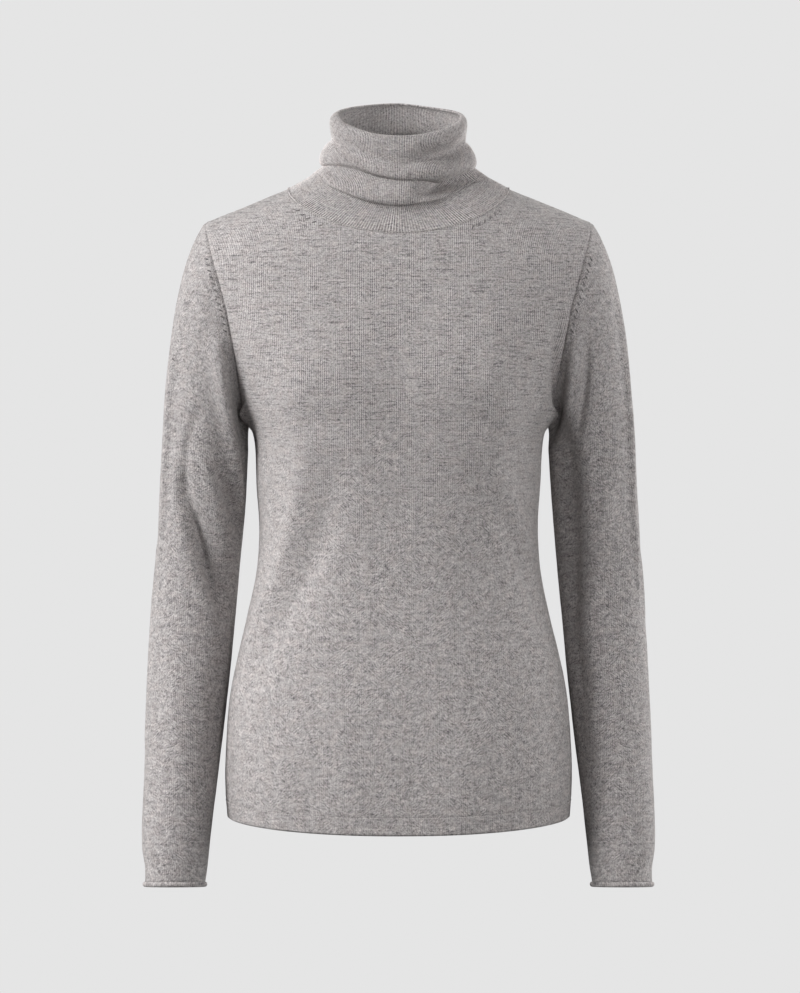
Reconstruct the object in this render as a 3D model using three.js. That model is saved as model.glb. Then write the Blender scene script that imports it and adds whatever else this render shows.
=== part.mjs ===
// A women's fine-knit turtleneck sweater, filled out as it is when worn and open at neck, cuffs and hem.
// It has a front and a back panel, two set-in sleeves, a slouched rib collar, a turned hem in two halves
// and a rolled edge at each cuff. Left and right are the wearer's.
// Millimetres, +Z up, the front towards -Y. The origin lies midway between the two points where the
// collar's seam crosses the shoulders, which is where the wearer's shoulders carry the garment.
import * as THREE from "three";

// Driving dimensions
const JERSEY = 1.5; // wall of the panels and sleeves
const RIB = 1.8; // wall of the collar
const TURNED_HEM = 2.6; // two layers of jersey
const SEAM_GAP = 0.3; // between neighbouring pieces

const SHOULDER_TIP = { x: 183, z: -32 };
const UNDERARM = { x: 141, z: -222 };
const NECK_HALF = 105; // half the neckline's width, at the shoulder seams
const NECK_FRONT_DROP = 44;
const NECK_BACK_RISE = 8;
const NECK_SCOOP = { front: 1.24, back: 2 }; // exponents of the neckline's curve
const HEM_SIDE = -595; // height of the hem's edge at the side seams
const HEM_FRONT_DROP = 5; // the edge hangs this much lower at centre front and centre back
const HEM_BAND = 16;
const ROUNDNESS = 2.2; // exponent of the torso's cross-section, 2 being an ellipse
const TOP_ROUNDING = { atNeck: 100, perMm: 0.25 }; // height over which the panels round over to the shoulder

// The torso by height: half width, and depth in front of and behind the side seams.
// Above the underarm the half width is that of the shape the armholes are cut from.
const TORSO = [
  { height: -620, half: 161.5, front: 103, back: 105 },
  { height: -560, half: 165, front: 103, back: 107 },
  { height: -520, half: 163.5, front: 101, back: 105 },
  { height: -480, half: 160, front: 98, back: 100 },
  { height: -440, half: 152, front: 94, back: 93 },
  { height: -400, half: 142.5, front: 91, back: 84 },
  { height: -360, half: 134.5, front: 90, back: 77 },
  { height: -320, half: 132, front: 93, back: 75 },
  { height: -280, half: 134.5, front: 98, back: 79 },
  { height: -240, half: 136.5, front: 104, back: 85 },
  { height: -222, half: 141, front: 106.5, back: 87.5 },
  { height: -200, half: 151.4, front: 108.5, back: 90 },
  { height: -170, half: 163, front: 108, back: 92 },
  { height: -127, half: 179.5, front: 99, back: 92 },
  { height: -80, half: 193, front: 86, back: 84 },
  { height: -40, half: 199, front: 76, back: 70 },
  { height: 0, half: 201, front: 68, back: 55 },
  { height: 40, half: 202, front: 60, back: 50 },
];

// Where the sleeve seam runs, seen from the front
const ARMHOLE = [
  { height: -222, x: 141 },
  { height: -208, x: 146 },
  { height: -190, x: 149 },
  { height: -163, x: 152.5 },
  { height: -127, x: 158.5 },
  { height: -108, x: 162.5 },
  { height: -58, x: 176.5 },
  { height: -32, x: 183 },
];

// The hanging sleeve below the underarm, by height: its four sides
const SLEEVE = [
  { height: -652.5, inner: 183.6, outer: 240.2, front: -55, back: 9 },
  { height: -638, inner: 181.2, outer: 240.4, front: -54, back: 11 },
  { height: -622, inner: 179.4, outer: 243.2, front: -52, back: 16 },
  { height: -600, inner: 176.9, outer: 243.7, front: -48, back: 24 },
  { height: -550, inner: 171.2, outer: 242.2, front: -38, back: 40 },
  { height: -500, inner: 165.4, outer: 240.8, front: -30, back: 50 },
  { height: -450, inner: 160.2, outer: 238.5, front: -22, back: 58 },
  { height: -400, inner: 155.5, outer: 235.6, front: -18, back: 62 },
  { height: -350, inner: 150.8, outer: 231.9, front: -20, back: 62 },
  { height: -300, inner: 146.2, outer: 228.8, front: -28, back: 58 },
  { height: -250, inner: 142.8, outer: 225.7, front: -38, back: 52 },
];
const SLEEVE_END = -652.5;
const CUFF_TILT = { from: -585, drop: 9 }; // below this height the back of the sleeve hangs lower than its front
const CAP_LEAVES = new THREE.Vector3(0.62, 0, -0.78); // how the sleeve leaves the shoulder tip
const UNDERARM_LEAVES = new THREE.Vector3(0.35, 0, -0.94); // and the underarm
const CAP_FORWARD = 0.2; // it swells this much forwards and backwards in between
const CAP_PULL = { start: 0.68, end: 0.8 }; // how strongly those directions bend the cap
const CUFF_ROLL = { height: 5.6, thickness: 3.6 };

// The collar by azimuth, 0 at centre front and 90 at the wearer's left: heights of its three creases and
// its rim, then the radii of the creases, of the band below the rim and of the rim, and last how far the
// rolls above the first two creases swell.
const NECK_AXIS_Y = -10;
const COLLAR = [
  { azimuth: 0, z1: -16.5, z2: 7.5, z3: 20, rim: 46.5, r1: 58, r2: 57, r3: 57.5, band: 59, top: 56, roll1: 9.5, roll2: 6.5 },
  { azimuth: 22.5, z1: -14.5, z2: 7, z3: 23, rim: 48, r1: 60, r2: 57, r3: 57, band: 60, top: 56.5, roll1: 9, roll2: 8 },
  { azimuth: 45, z1: -8, z2: 6.5, z3: 28, rim: 53.5, r1: 65, r2: 55, r3: 57, band: 62, top: 57.5, roll1: 7, roll2: 11 },
  { azimuth: 67.5, z1: 3, z2: 13.5, z3: 35, rim: 60.5, r1: 75, r2: 61, r3: 60, band: 64, top: 58.5, roll1: 4, roll2: 11 },
  { azimuth: 90, z1: 10, z2: 21, z3: 43, rim: 69, r1: 85, r2: 69, r3: 63, band: 64.5, top: 58.5, roll1: 0, roll2: 7 },
  { azimuth: 135, z1: 14, z2: 29, z3: 52, rim: 78, r1: 70, r2: 63, r3: 61, band: 62, top: 57, roll1: 3, roll2: 7 },
  { azimuth: 180, z1: 17, z2: 33, z3: 54, rim: 84, r1: 58, r2: 58, r3: 56, band: 58, top: 54, roll1: 5, roll2: 7 },
  { azimuth: 225, z1: 15, z2: 31, z3: 50, rim: 80, r1: 70, r2: 64, r3: 61, band: 61.5, top: 56.5, roll1: 4, roll2: 6 },
  { azimuth: 270, z1: 10, z2: 23, z3: 45, rim: 71, r1: 85, r2: 69, r3: 63, band: 65, top: 57, roll1: 0, roll2: 8 },
  { azimuth: 292.5, z1: 4, z2: 21, z3: 40, rim: 62.5, r1: 77, r2: 65, r3: 62.5, band: 64, top: 57.5, roll1: 3, roll2: 5 },
  { azimuth: 315, z1: -7, z2: 17.5, z3: 34, rim: 55, r1: 68, r2: 61, r3: 61, band: 62.5, top: 58, roll1: 6.5, roll2: 3.5 },
  { azimuth: 337.5, z1: -14, z2: 10.5, z3: 26, rim: 48.5, r1: 60, r2: 58, r3: 59, band: 60.5, top: 57, roll1: 9, roll2: 5 },
];
const ROLL_DROOP = 0.6; // a roll hangs down by this share of its swelling
const ROLL_FULLNESS = 0.8; // exponent of its swelling from crease to crease, rounder as it falls
const RIM_CURL = { height: 8, rows: 2 }; // the rim's edge curls inwards from the band below it

// Soft folds: a ridge, or a trough where height is negative, along a line between two places.
// turn is in degrees round the piece, z is the height, width and height are in millimetres.
const BODY_FOLDS = [
  { turn1: 80, z1: -216, turn2: 84, z2: -212, width: 11, height: 7 }, // the cloth gathered at each underarm
  { turn1: -80, z1: -216, turn2: -84, z2: -212, width: 11, height: 7 },
  { turn1: -36, z1: -240, turn2: -72, z2: -425, width: 15, height: 3 }, // drapes from chest to hip
  { turn1: -26, z1: -290, turn2: -60, z2: -460, width: 17, height: -2.6 },
  { turn1: 34, z1: -240, turn2: 70, z2: -352, width: 14, height: 2.2 },
  { turn1: 44, z1: -300, turn2: 72, z2: -420, width: 15, height: -2.6 },
  { turn1: 128, z1: -240, turn2: 108, z2: -380, width: 16, height: 3 }, // the same on the back
  { turn1: -126, z1: -230, turn2: -110, z2: -370, width: 16, height: 3 },
  { turn1: 150, z1: -300, turn2: 122, z2: -430, width: 17, height: -2.6 },
  { turn1: -148, z1: -310, turn2: -124, z2: -440, width: 17, height: -2.6 },
];
const BODY_MM_PER_DEGREE = 2.2;
// Round a sleeve, turn is 0 towards the body, 90 in front, 180 outside and 270 behind.
const SLEEVE_FOLDS = {
  right: [
    { turn1: 144, z1: -100, turn2: 152, z2: -335, width: 7, height: 3.4 },
    { turn1: 94, z1: -160, turn2: 50, z2: -254, width: 10, height: 3.8 },
    { turn1: 60, z1: -176, turn2: 10, z2: -252, width: 10, height: -5 },
    { turn1: 124, z1: -290, turn2: 36, z2: -398, width: 10, height: -5 },
    { turn1: 68, z1: -268, turn2: 20, z2: -324, width: 9, height: -4.5 },
    { turn1: 240, z1: -300, turn2: 320, z2: -410, width: 10, height: -4.5 },
  ],
  left: [
    { turn1: 158, z1: -120, turn2: 148, z2: -345, width: 7, height: 3.2 },
    { turn1: 92, z1: -145, turn2: 54, z2: -216, width: 9, height: 4.5 },
    { turn1: 60, z1: -168, turn2: 14, z2: -240, width: 9, height: -4.5 },
    { turn1: 26, z1: -244, turn2: 44, z2: -380, width: 9, height: -3 },
    { turn1: 114, z1: -282, turn2: 82, z2: -360, width: 10, height: 4 },
    { turn1: 88, z1: -306, turn2: 40, z2: -388, width: 9, height: -3.6 },
    { turn1: 236, z1: -310, turn2: 316, z2: -420, width: 10, height: -4.5 },
  ],
};
const SLEEVE_MM_PER_DEGREE = 0.75;

// How finely the walls are divided
const SHOULDER_COLUMNS = 5; // of a panel, on each shoulder
const NECK_COLUMNS = 20; // of a panel, along the neckline
const COLUMNS = NECK_COLUMNS + 2 * SHOULDER_COLUMNS;
const LOWER_ROWS = 11; // from hem band to underarm
const ARMHOLE_ROWS = 12; // from underarm to shoulder
const CAP_ROWS = 9; // of a sleeve, from armhole to the height of the underarm
const TUBE_ROWS = 12;
const SKIRT_ROWS = 3; // of the collar, below its first crease
const ROWS_PER_ROLL = 6;
const HEM_ROWS = 2;
const ROLL_SIDES = 8; // of the cuff's rolled edge

const { lerp, degToRad } = THREE.MathUtils;

// A column of a table at any place along it, on a smooth curve through its rows.
function read(table, along, column, at, period = 0) {
  const count = table.length;
  let i = 0;
  while (i < count - (period ? 1 : 2) && at > table[i + 1 < count ? i + 1 : 0][along] + (i + 1 < count ? 0 : period)) i++;
  const row = (k) => (period ? table[(k + count) % count] : table[Math.min(Math.max(k, 0), count - 1)]);
  const place = (k) => row(k)[along] + (period ? Math.floor(k / count) * period : 0);
  const value = (k) => row(k)[column];
  const slope = (k) => (value(k + 1) - value(k - 1)) / Math.max(place(k + 1) - place(k - 1), 1e-9);
  const step = place(i + 1) - place(i);
  const t = Math.min(Math.max((at - place(i)) / step, 0), 1);
  const s = t * t * (3 - 2 * t);
  const bend = t * (1 - t) * step;
  return lerp(value(i), value(i + 1), s) + bend * ((1 - t) * slope(i) - t * slope(i + 1));
}

const power = (base, exponent) => Math.sign(base) * Math.abs(base) ** exponent;

// How far a fold table lifts the cloth at a place.
function lift(folds, mmPerDegree, turn, z) {
  let total = 0;
  for (const f of folds) {
    const along = { x: (f.turn2 - f.turn1) * mmPerDegree, z: f.z2 - f.z1 };
    const turned = ((((turn - f.turn1 + 180) % 360) + 360) % 360) - 180;
    const here = { x: turned * mmPerDegree, z: z - f.z1 };
    const share = (here.x * along.x + here.z * along.z) / (along.x ** 2 + along.z ** 2);
    const t = Math.min(Math.max(share, 0), 1);
    const away = Math.hypot(here.x - t * along.x, here.z - t * along.z);
    total += f.height * Math.exp(-((away / f.width) ** 2));
  }
  return total;
}

// The shoulder line, and its continuation to the middle of the neck.
const shoulderHeight = (x) =>
  (SHOULDER_TIP.z * (Math.abs(x) - NECK_HALF)) / (SHOULDER_TIP.x - NECK_HALF);

// Depth of the torso's surface in front of (face "front") or behind the side seams.
function depth(face, x, z) {
  const half = read(TORSO, "height", "half", z);
  const across = Math.max(1 - Math.min(Math.abs(x) / half, 1) ** ROUNDNESS, 0) ** (1 / ROUNDNESS);
  const rounding = TOP_ROUNDING.atNeck - TOP_ROUNDING.perMm * Math.abs(x);
  const below = Math.min(Math.max(shoulderHeight(x) - z, 0) / rounding, 1);
  return read(TORSO, "height", face, z) * across * Math.sqrt(1 - (1 - below) ** 2);
}

// Top end of a panel's column: on the shoulder seam or on the neckline.
function columnTop(face, column) {
  const fromTip = Math.min(column, COLUMNS - column);
  if (fromTip <= SHOULDER_COLUMNS) {
    const side = column < COLUMNS / 2 ? -1 : 1;
    const x = lerp(SHOULDER_TIP.x, NECK_HALF, fromTip / SHOULDER_COLUMNS);
    return { x: side * x, z: shoulderHeight(x) };
  }
  const azimuth = Math.PI * ((column - SHOULDER_COLUMNS) / NECK_COLUMNS - 0.5);
  const forward = Math.cos(azimuth);
  const z = face === "front" ? -NECK_FRONT_DROP * forward ** NECK_SCOOP.front : NECK_BACK_RISE * forward ** NECK_SCOOP.back;
  return { x: NECK_HALF * Math.sin(azimuth), z };
}

const hemEdge = (turn) => HEM_SIDE - HEM_FRONT_DROP * Math.cos(turn) ** 2;

// A point of the torso's outer surface, lifted by the folds.
function torsoPoint(face, x, z, turn) {
  const way = face === "front" ? -1 : 1;
  const y = way * depth(face, x, z);
  const half = read(TORSO, "height", "half", z);
  const outwards = new THREE.Vector2(x / half ** 2, y / read(TORSO, "height", face, z) ** 2).normalize();
  const degrees = THREE.MathUtils.radToDeg(face === "front" ? turn : Math.PI - turn);
  const up = lift(BODY_FOLDS, BODY_MM_PER_DEGREE, degrees, z);
  return new THREE.Vector3(x + up * outwards.x, y + up * outwards.y, z);
}

// A panel's outer surface: rows from the hem band up, columns from -X to +X.
function panelGrid(face) {
  const rows = [];
  for (let row = 0; row <= LOWER_ROWS + ARMHOLE_ROWS; row++) {
    const points = [];
    for (let column = 0; column <= COLUMNS; column++) {
      const turn = Math.PI * (column / COLUMNS - 0.5);
      const share = power(Math.sin(turn), 2 / ROUNDNESS);
      if (row <= LOWER_ROWS) {
        const z = lerp(hemEdge(turn) + HEM_BAND, UNDERARM.z, row / LOWER_ROWS);
        points.push(torsoPoint(face, share * read(TORSO, "height", "half", z), z, turn));
        continue;
      }
      const rise = (1 - Math.cos((Math.PI * (row - LOWER_ROWS)) / ARMHOLE_ROWS)) / 2;
      const top = columnTop(face, column);
      const edge = read(ARMHOLE, "height", "x", lerp(UNDERARM.z, SHOULDER_TIP.z, rise));
      const x = edge * lerp(share, top.x / SHOULDER_TIP.x, rise);
      const z = lerp(UNDERARM.z, top.z, rise);
      points.push(torsoPoint(face, x, z, turn));
    }
    rows.push(points);
  }
  return rows;
}

// A hem band's outer surface, from its edge up to the panel's lowest row.
function hemGrid(face, panel) {
  const rows = [];
  for (let row = 0; row < HEM_ROWS; row++) {
    rows.push(
      panel[0].map((_, column) => {
        const turn = Math.PI * (column / COLUMNS - 0.5);
        const z = hemEdge(turn) + (HEM_BAND * row) / HEM_ROWS;
        const x = power(Math.sin(turn), 2 / ROUNDNESS) * read(TORSO, "height", "half", z);
        return torsoPoint(face, x, z, turn);
      }),
    );
  }
  return [...rows, panel[0]];
}

// A sleeve's outer surface: columns go round from the underarm, up the armhole's front and down its back,
// and rows go from the armhole to the cuff. side is 1 at +X and -1 at -X.
function sleeveGrid(side, front, back) {
  const edge = side > 0 ? COLUMNS : 0;
  const folds = SLEEVE_FOLDS[side > 0 ? "left" : "right"];
  const around = 2 * ARMHOLE_ROWS;
  const seam = (k) =>
    k <= ARMHOLE_ROWS ? front[LOWER_ROWS + k][edge] : back[LOWER_ROWS + around - k][edge];
  const ring = (k, z) => {
    const turn = (2 * Math.PI * k) / around;
    const [inner, outer, fore, aft] = ["inner", "outer", "front", "back"].map((c) => read(SLEEVE, "height", c, z));
    const outwards = new THREE.Vector3(-side * Math.cos(turn), -Math.sin(turn), 0);
    const tilted = Math.min(Math.max((CUFF_TILT.from - z) / (CUFF_TILT.from - SLEEVE_END), 0), 1);
    const drop = (CUFF_TILT.drop * tilted * (1 - Math.sin(turn))) / 2;
    const middle = new THREE.Vector3((side * (inner + outer)) / 2, (fore + aft) / 2, z - drop);
    return middle.add(outwards.clone().multiply(new THREE.Vector3((outer - inner) / 2, (aft - fore) / 2, 0)));
  };
  const folded = (point, k) => {
    const degrees = (360 * k) / around;
    const turn = degToRad(degrees);
    const up = lift(folds, SLEEVE_MM_PER_DEGREE, degrees, point.z);
    return point.add(new THREE.Vector3(-side * Math.cos(turn), -Math.sin(turn), 0).multiplyScalar(up));
  };
  const rows = [];
  const capEnd = SLEEVE[SLEEVE.length - 1].height;
  for (let row = 0; row <= CAP_ROWS; row++) {
    const t = row / CAP_ROWS;
    const points = [];
    for (let k = 0; k < around; k++) {
      const from = seam(k);
      if (row === 0) {
        points.push(from);
        continue;
      }
      const to = ring(k, capEnd);
      const turn = (2 * Math.PI * k) / around;
      const leaves = UNDERARM_LEAVES.clone().lerp(CAP_LEAVES, (1 - Math.cos(turn)) / 2);
      leaves.set(side * leaves.x, -CAP_FORWARD * Math.sin(turn), leaves.z).normalize();
      const length = from.distanceTo(to);
      const arrives = ring(k, capEnd - 10).sub(ring(k, capEnd)).normalize();
      const point = new THREE.Vector3()
        .addScaledVector(from, 1 - t * t * (3 - 2 * t))
        .addScaledVector(to, t * t * (3 - 2 * t))
        .addScaledVector(leaves, CAP_PULL.start * length * t * (1 - t) ** 2)
        .addScaledVector(arrives, -CAP_PULL.end * length * t * t * (1 - t));
      points.push(folded(point, k));
    }
    rows.push(points);
  }
  for (let row = 1; row <= TUBE_ROWS; row++) {
    const z = lerp(capEnd, SLEEVE_END, row / TUBE_ROWS);
    rows.push(Array.from({ length: around }, (_, k) => folded(ring(k, z), k)));
  }
  return rows;
}

// The collar's outer surface: columns go round from centre front towards +X, rows from the seam to the rim.
function collarGrid(front, back) {
  const around = 2 * NECK_COLUMNS;
  const quarter = NECK_COLUMNS / 2;
  const middle = SHOULDER_COLUMNS + quarter;
  const top = LOWER_ROWS + ARMHOLE_ROWS;
  const seam = (k) => {
    const onFront = k <= quarter || k >= around - quarter;
    const column = onFront ? middle + (k <= quarter ? k : k - around) : middle + NECK_COLUMNS - k;
    return (onFront ? front : back)[top][column];
  };
  const rings = (count, place) => {
    for (let row = 1; row <= count; row++) {
      rows.push(
        Array.from({ length: around }, (_, k) => {
          const azimuth = (360 * k) / around;
          const turn = degToRad(azimuth);
          const at = (column) => read(COLLAR, "azimuth", column, azimuth, 360);
          const on = (radius, z) =>
            new THREE.Vector3(radius * Math.sin(turn), NECK_AXIS_Y - radius * Math.cos(turn), z);
          return place(row / count, at, on, k);
        }),
      );
    }
  };
  const rows = [Array.from({ length: around }, (_, k) => seam(k))];
  rings(SKIRT_ROWS, (t, at, on, k) => seam(k).clone().lerp(on(at("r1"), at("z1")), t));
  for (const roll of [1, 2]) {
    rings(ROWS_PER_ROLL, (t, at, on) => {
      const swell = at(`roll${roll}`) * Math.sin(Math.PI * t) ** ROLL_FULLNESS;
      const radius = lerp(at(`r${roll}`), at(`r${roll + 1}`), t) + swell;
      return on(radius, lerp(at(`z${roll}`), at(`z${roll + 1}`), t) - ROLL_DROOP * swell * 2 * (1 - t));
    });
  }
  rings(ROWS_PER_ROLL, (t, at, on) => {
    const radius = lerp(at("r3"), at("band"), t * t * (3 - 2 * t));
    return on(radius, lerp(at("z3"), at("rim") - RIM_CURL.height, t));
  });
  rings(RIM_CURL.rows, (t, at, on) => {
    const curl = (Math.PI / 2) * t;
    const radius = at("band") - (at("band") - at("top")) * (1 - Math.cos(curl));
    return on(radius, at("rim") - RIM_CURL.height * (1 - Math.sin(curl)));
  });
  return rows;
}

// One sheet of cloth to be given a wall. outside is 1 where rows x columns turns outwards, else -1.
function sheet(name, rows, wall, closed, outside, material) {
  const grid = rows.map((points) => points.map((p) => ({ p: p.clone(), n: new THREE.Vector3() })));
  const width = grid[0].length;
  for (let i = 0; i + 1 < grid.length; i++) {
    for (let j = 0; j + (closed ? 0 : 1) < width; j++) {
      const right = (j + 1) % width;
      const corners = [grid[i][j], grid[i][right], grid[i + 1][right], grid[i + 1][j]];
      const across = corners[2].p.clone().sub(corners[0].p);
      const other = corners[3].p.clone().sub(corners[1].p);
      const normal = across.cross(other).multiplyScalar(outside);
      corners.forEach((corner) => corner.n.add(normal));
    }
  }
  grid.flat().forEach((v) => v.n.normalize());
  return { name, grid, wall, closed, outside, material };
}

// Where pieces meet at a seam they share one direction through the wall, so that their edges lie flat
// against each other. In the armpit, where body and sleeve face each other, it is downwards.
function shareSeams(sheets) {
  const meeting = new Map();
  for (const v of sheets.flatMap((s) => s.grid.flat())) {
    const place = v.p.toArray().map((c) => Math.round(c * 100) + 0).join();
    meeting.set(place, [...(meeting.get(place) ?? []), v]);
  }
  for (const met of meeting.values()) {
    const { x, z } = met[0].p;
    const inArmpit = Math.hypot(Math.abs(x) - UNDERARM.x, z - UNDERARM.z) < 1;
    const shared = met.reduce((sum, v) => sum.add(v.n), new THREE.Vector3()).normalize();
    if (inArmpit) shared.set(0, 0, -1);
    met.forEach((v) => v.n.copy(shared));
  }
}

// The sheet's free edges, each a loop of vertices with a neighbour that lies inwards from it.
function edges({ grid, closed }) {
  const last = grid.length - 1;
  const end = grid[0].length - 1;
  const inner = (at, most) => Math.min(Math.max(at, 1), most - 1);
  const entry = (i, j) => ({ v: grid[i][j], inside: grid[inner(i, last)][closed ? j : inner(j, end)] });
  const across = (i) => grid[0].map((_, j) => entry(i, j));
  if (closed) return [across(0), across(last)];
  const up = (j) => grid.map((_, i) => entry(i, j));
  const sides = [across(0), up(end), across(last).reverse(), up(0).reverse()];
  return [sides.flatMap((side) => side.slice(0, -1))];
}

// Draws each edge in by half the seam's gap, along the cloth.
function openSeams(piece) {
  for (const loop of edges(piece)) {
    const count = loop.length;
    const shifts = loop.map(({ v, inside }, i) => {
      const inwards = (other) => {
        const way = other.p.clone().sub(v.p).cross(v.n).normalize();
        return way.dot(inside.p.clone().sub(v.p)) < 0 ? way.negate() : way;
      };
      const both = inwards(loop[(i + count - 1) % count].v).add(inwards(loop[(i + 1) % count].v));
      return both.multiplyScalar(SEAM_GAP / both.lengthSq());
    });
    loop.forEach(({ v }, i) => (v.shift = shifts[i]));
  }
}

// A sheet's wall as one closed mesh.
function wallMesh(piece) {
  const { name, grid, wall, closed, outside, material } = piece;
  const width = grid[0].length;
  const height = grid.length;
  const outer = grid.flat().map((v) => v.p.clone().add(v.shift ?? new THREE.Vector3()));
  const inner = grid.flat().map((v, i) => outer[i].clone().addScaledVector(v.n, -wall));
  const points = [...outer, ...inner];
  const faces = [];
  const quad = (a, b, c, d) => faces.push(...(outside > 0 ? [a, b, c, a, c, d] : [a, c, b, a, d, c]));
  const at = (i, j, layer = 0) => layer * width * height + i * width + (j % width);
  const spans = closed ? width : width - 1;
  for (let i = 0; i + 1 < height; i++) {
    for (let j = 0; j < spans; j++) {
      quad(at(i, j), at(i, j + 1), at(i + 1, j + 1), at(i + 1, j));
      quad(at(i, j, 1), at(i + 1, j, 1), at(i + 1, j + 1, 1), at(i, j + 1, 1));
    }
  }
  for (let j = 0; j < spans; j++) {
    quad(at(0, j), at(0, j, 1), at(0, j + 1, 1), at(0, j + 1));
    quad(at(height - 1, j), at(height - 1, j + 1), at(height - 1, j + 1, 1), at(height - 1, j, 1));
  }
  for (let i = 0; i + 1 < height && !closed; i++) {
    quad(at(i, 0), at(i + 1, 0), at(i + 1, 0, 1), at(i, 0, 1));
    quad(at(i, width - 1), at(i, width - 1, 1), at(i + 1, width - 1, 1), at(i + 1, width - 1));
  }
  return namedMesh(name, points, faces, material);
}

function namedMesh(name, points, faces, material) {
  const geometry = new THREE.BufferGeometry().setFromPoints(points);
  geometry.setIndex(faces);
  geometry.computeVertexNormals();
  const mesh = new THREE.Mesh(geometry, material);
  mesh.name = name;
  return mesh;
}

// The rolled edge below a sleeve's last row: a ring of oval section that hugs the sleeve's end.
function cuffRoll(name, side, sleeve, material) {
  const end = sleeve.grid[sleeve.grid.length - 1];
  const points = [];
  const faces = [];
  const sides = ROLL_SIDES;
  end.forEach((v, k) => {
    const outwards = new THREE.Vector3(v.n.x, v.n.y, 0).normalize();
    const middleZ = v.p.z - SEAM_GAP - CUFF_ROLL.height / 2;
    const middle = v.p.clone().addScaledVector(outwards, -JERSEY / 2).setZ(middleZ);
    for (let s = 0; s < sides; s++) {
      const angle = (2 * Math.PI * (s + 0.5)) / sides;
      const flat = CUFF_ROLL.height / 2 / Math.cos(Math.PI / sides);
      const out = (CUFF_ROLL.thickness / 2) * Math.cos(angle);
      points.push(middle.clone().addScaledVector(outwards, out).setZ(middleZ + flat * Math.sin(angle)));
    }
    const next = (k + 1) % end.length;
    for (let s = 0; s < sides; s++) {
      const a = k * sides + s;
      const b = next * sides + s;
      const c = next * sides + ((s + 1) % sides);
      const d = k * sides + ((s + 1) % sides);
      faces.push(...(side > 0 ? [a, b, c, a, c, d] : [a, c, b, a, d, c]));
    }
  });
  return namedMesh(name, points, faces, material);
}

function knit(color, roughness) {
  return new THREE.MeshStandardMaterial({ color, roughness, metalness: 0 });
}

function sweater() {
  const jersey = knit(0xa39d9b, 0.95);
  const rib = knit(0xa19b99, 0.95);
  const front = panelGrid("front");
  const back = panelGrid("back");
  const sheets = [
    sheet("front_panel", front, JERSEY, false, 1, jersey),
    sheet("back_panel", back, JERSEY, false, -1, jersey),
    sheet("hem_front", hemGrid("front", front), TURNED_HEM, false, 1, jersey),
    sheet("hem_back", hemGrid("back", back), TURNED_HEM, false, -1, jersey),
    sheet("sleeve_left", sleeveGrid(1, front, back), JERSEY, true, -1, jersey),
    sheet("sleeve_right", sleeveGrid(-1, front, back), JERSEY, true, 1, jersey),
    sheet("collar", collarGrid(front, back), RIB, true, 1, rib),
  ];
  shareSeams(sheets);
  sheets.forEach(openSeams);
  const garment = new THREE.Group();
  sheets.forEach((s) => garment.add(wallMesh(s)));
  garment.add(cuffRoll("cuff_roll_left", 1, sheets[4], jersey));
  garment.add(cuffRoll("cuff_roll_right", -1, sheets[5], jersey));
  return garment;
}

export default sweater();
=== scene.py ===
"""A women's fine-knit turtleneck sweater in mottled grey wool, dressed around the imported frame.

Each shell follows the rings and tables of the solid that it replaces, divided more finely, and adds
what the solids leave out: the softer folds, the seams, the collar's ribs and the linking stitches.
Lengths are in millimetres and angles in degrees until a mesh is made. Left and right are the wearer's.
"""
import math

import bpy
import numpy as np
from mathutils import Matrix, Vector


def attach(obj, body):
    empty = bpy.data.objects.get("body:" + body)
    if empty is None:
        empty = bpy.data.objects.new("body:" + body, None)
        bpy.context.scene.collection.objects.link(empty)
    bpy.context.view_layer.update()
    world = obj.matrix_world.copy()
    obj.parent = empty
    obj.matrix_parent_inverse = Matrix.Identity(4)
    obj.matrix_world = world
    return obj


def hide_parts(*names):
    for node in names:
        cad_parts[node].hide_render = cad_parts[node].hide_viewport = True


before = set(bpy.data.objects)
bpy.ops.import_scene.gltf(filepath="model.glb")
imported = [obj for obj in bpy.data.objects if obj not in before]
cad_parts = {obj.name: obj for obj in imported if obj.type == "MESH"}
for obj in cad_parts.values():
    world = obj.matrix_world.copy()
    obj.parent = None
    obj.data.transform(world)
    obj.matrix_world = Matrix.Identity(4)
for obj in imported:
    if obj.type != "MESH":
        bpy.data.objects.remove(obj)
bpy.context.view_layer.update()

MM = 0.001

# Driving dimensions, as in the solids
JERSEY = 1.5
RIB = 1.8
TURNED_HEM = 2.6
SHOULDER_TIP_X = 183.0
SHOULDER_TIP_Z = -32.0
UNDERARM_X = 141.0
UNDERARM_Z = -222.0
NECK_HALF = 105.0
NECK_FRONT_DROP = 44.0
NECK_BACK_RISE = 8.0
NECK_SCOOP = {"front": 1.24, "back": 2}
HEM_SIDE = -595.0
HEM_FRONT_DROP = 5.0
HEM_BAND = 16.0
ROUNDNESS = 2.2
TOP_ROUNDING_AT_NECK = 100.0
TOP_ROUNDING_PER_MM = 0.25
NECK_AXIS_Y = -10.0
SLEEVE_END = -652.5
CUFF_TILT_FROM = -585.0
CUFF_TILT_DROP = 9.0
COLLAR_RIBS = 232
RIB_PITCH = 1.8
RIB_RELIEF = 0.17

# Knit gauge, and how strongly each part of a stitch shades the wool
WALE = 2.0
COURSE = 1.5
STITCH_SLANT = -0.7
YARN_SHARE = 0.35
WALE_SHARE = 0.65
RIB_SHARE = 0.34
RIB_COURSE_SHARE = 0.08
PLY_SCALE = 0.1
PLY_SLANT = 0.8
PLY_SHARE = 0.12


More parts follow.
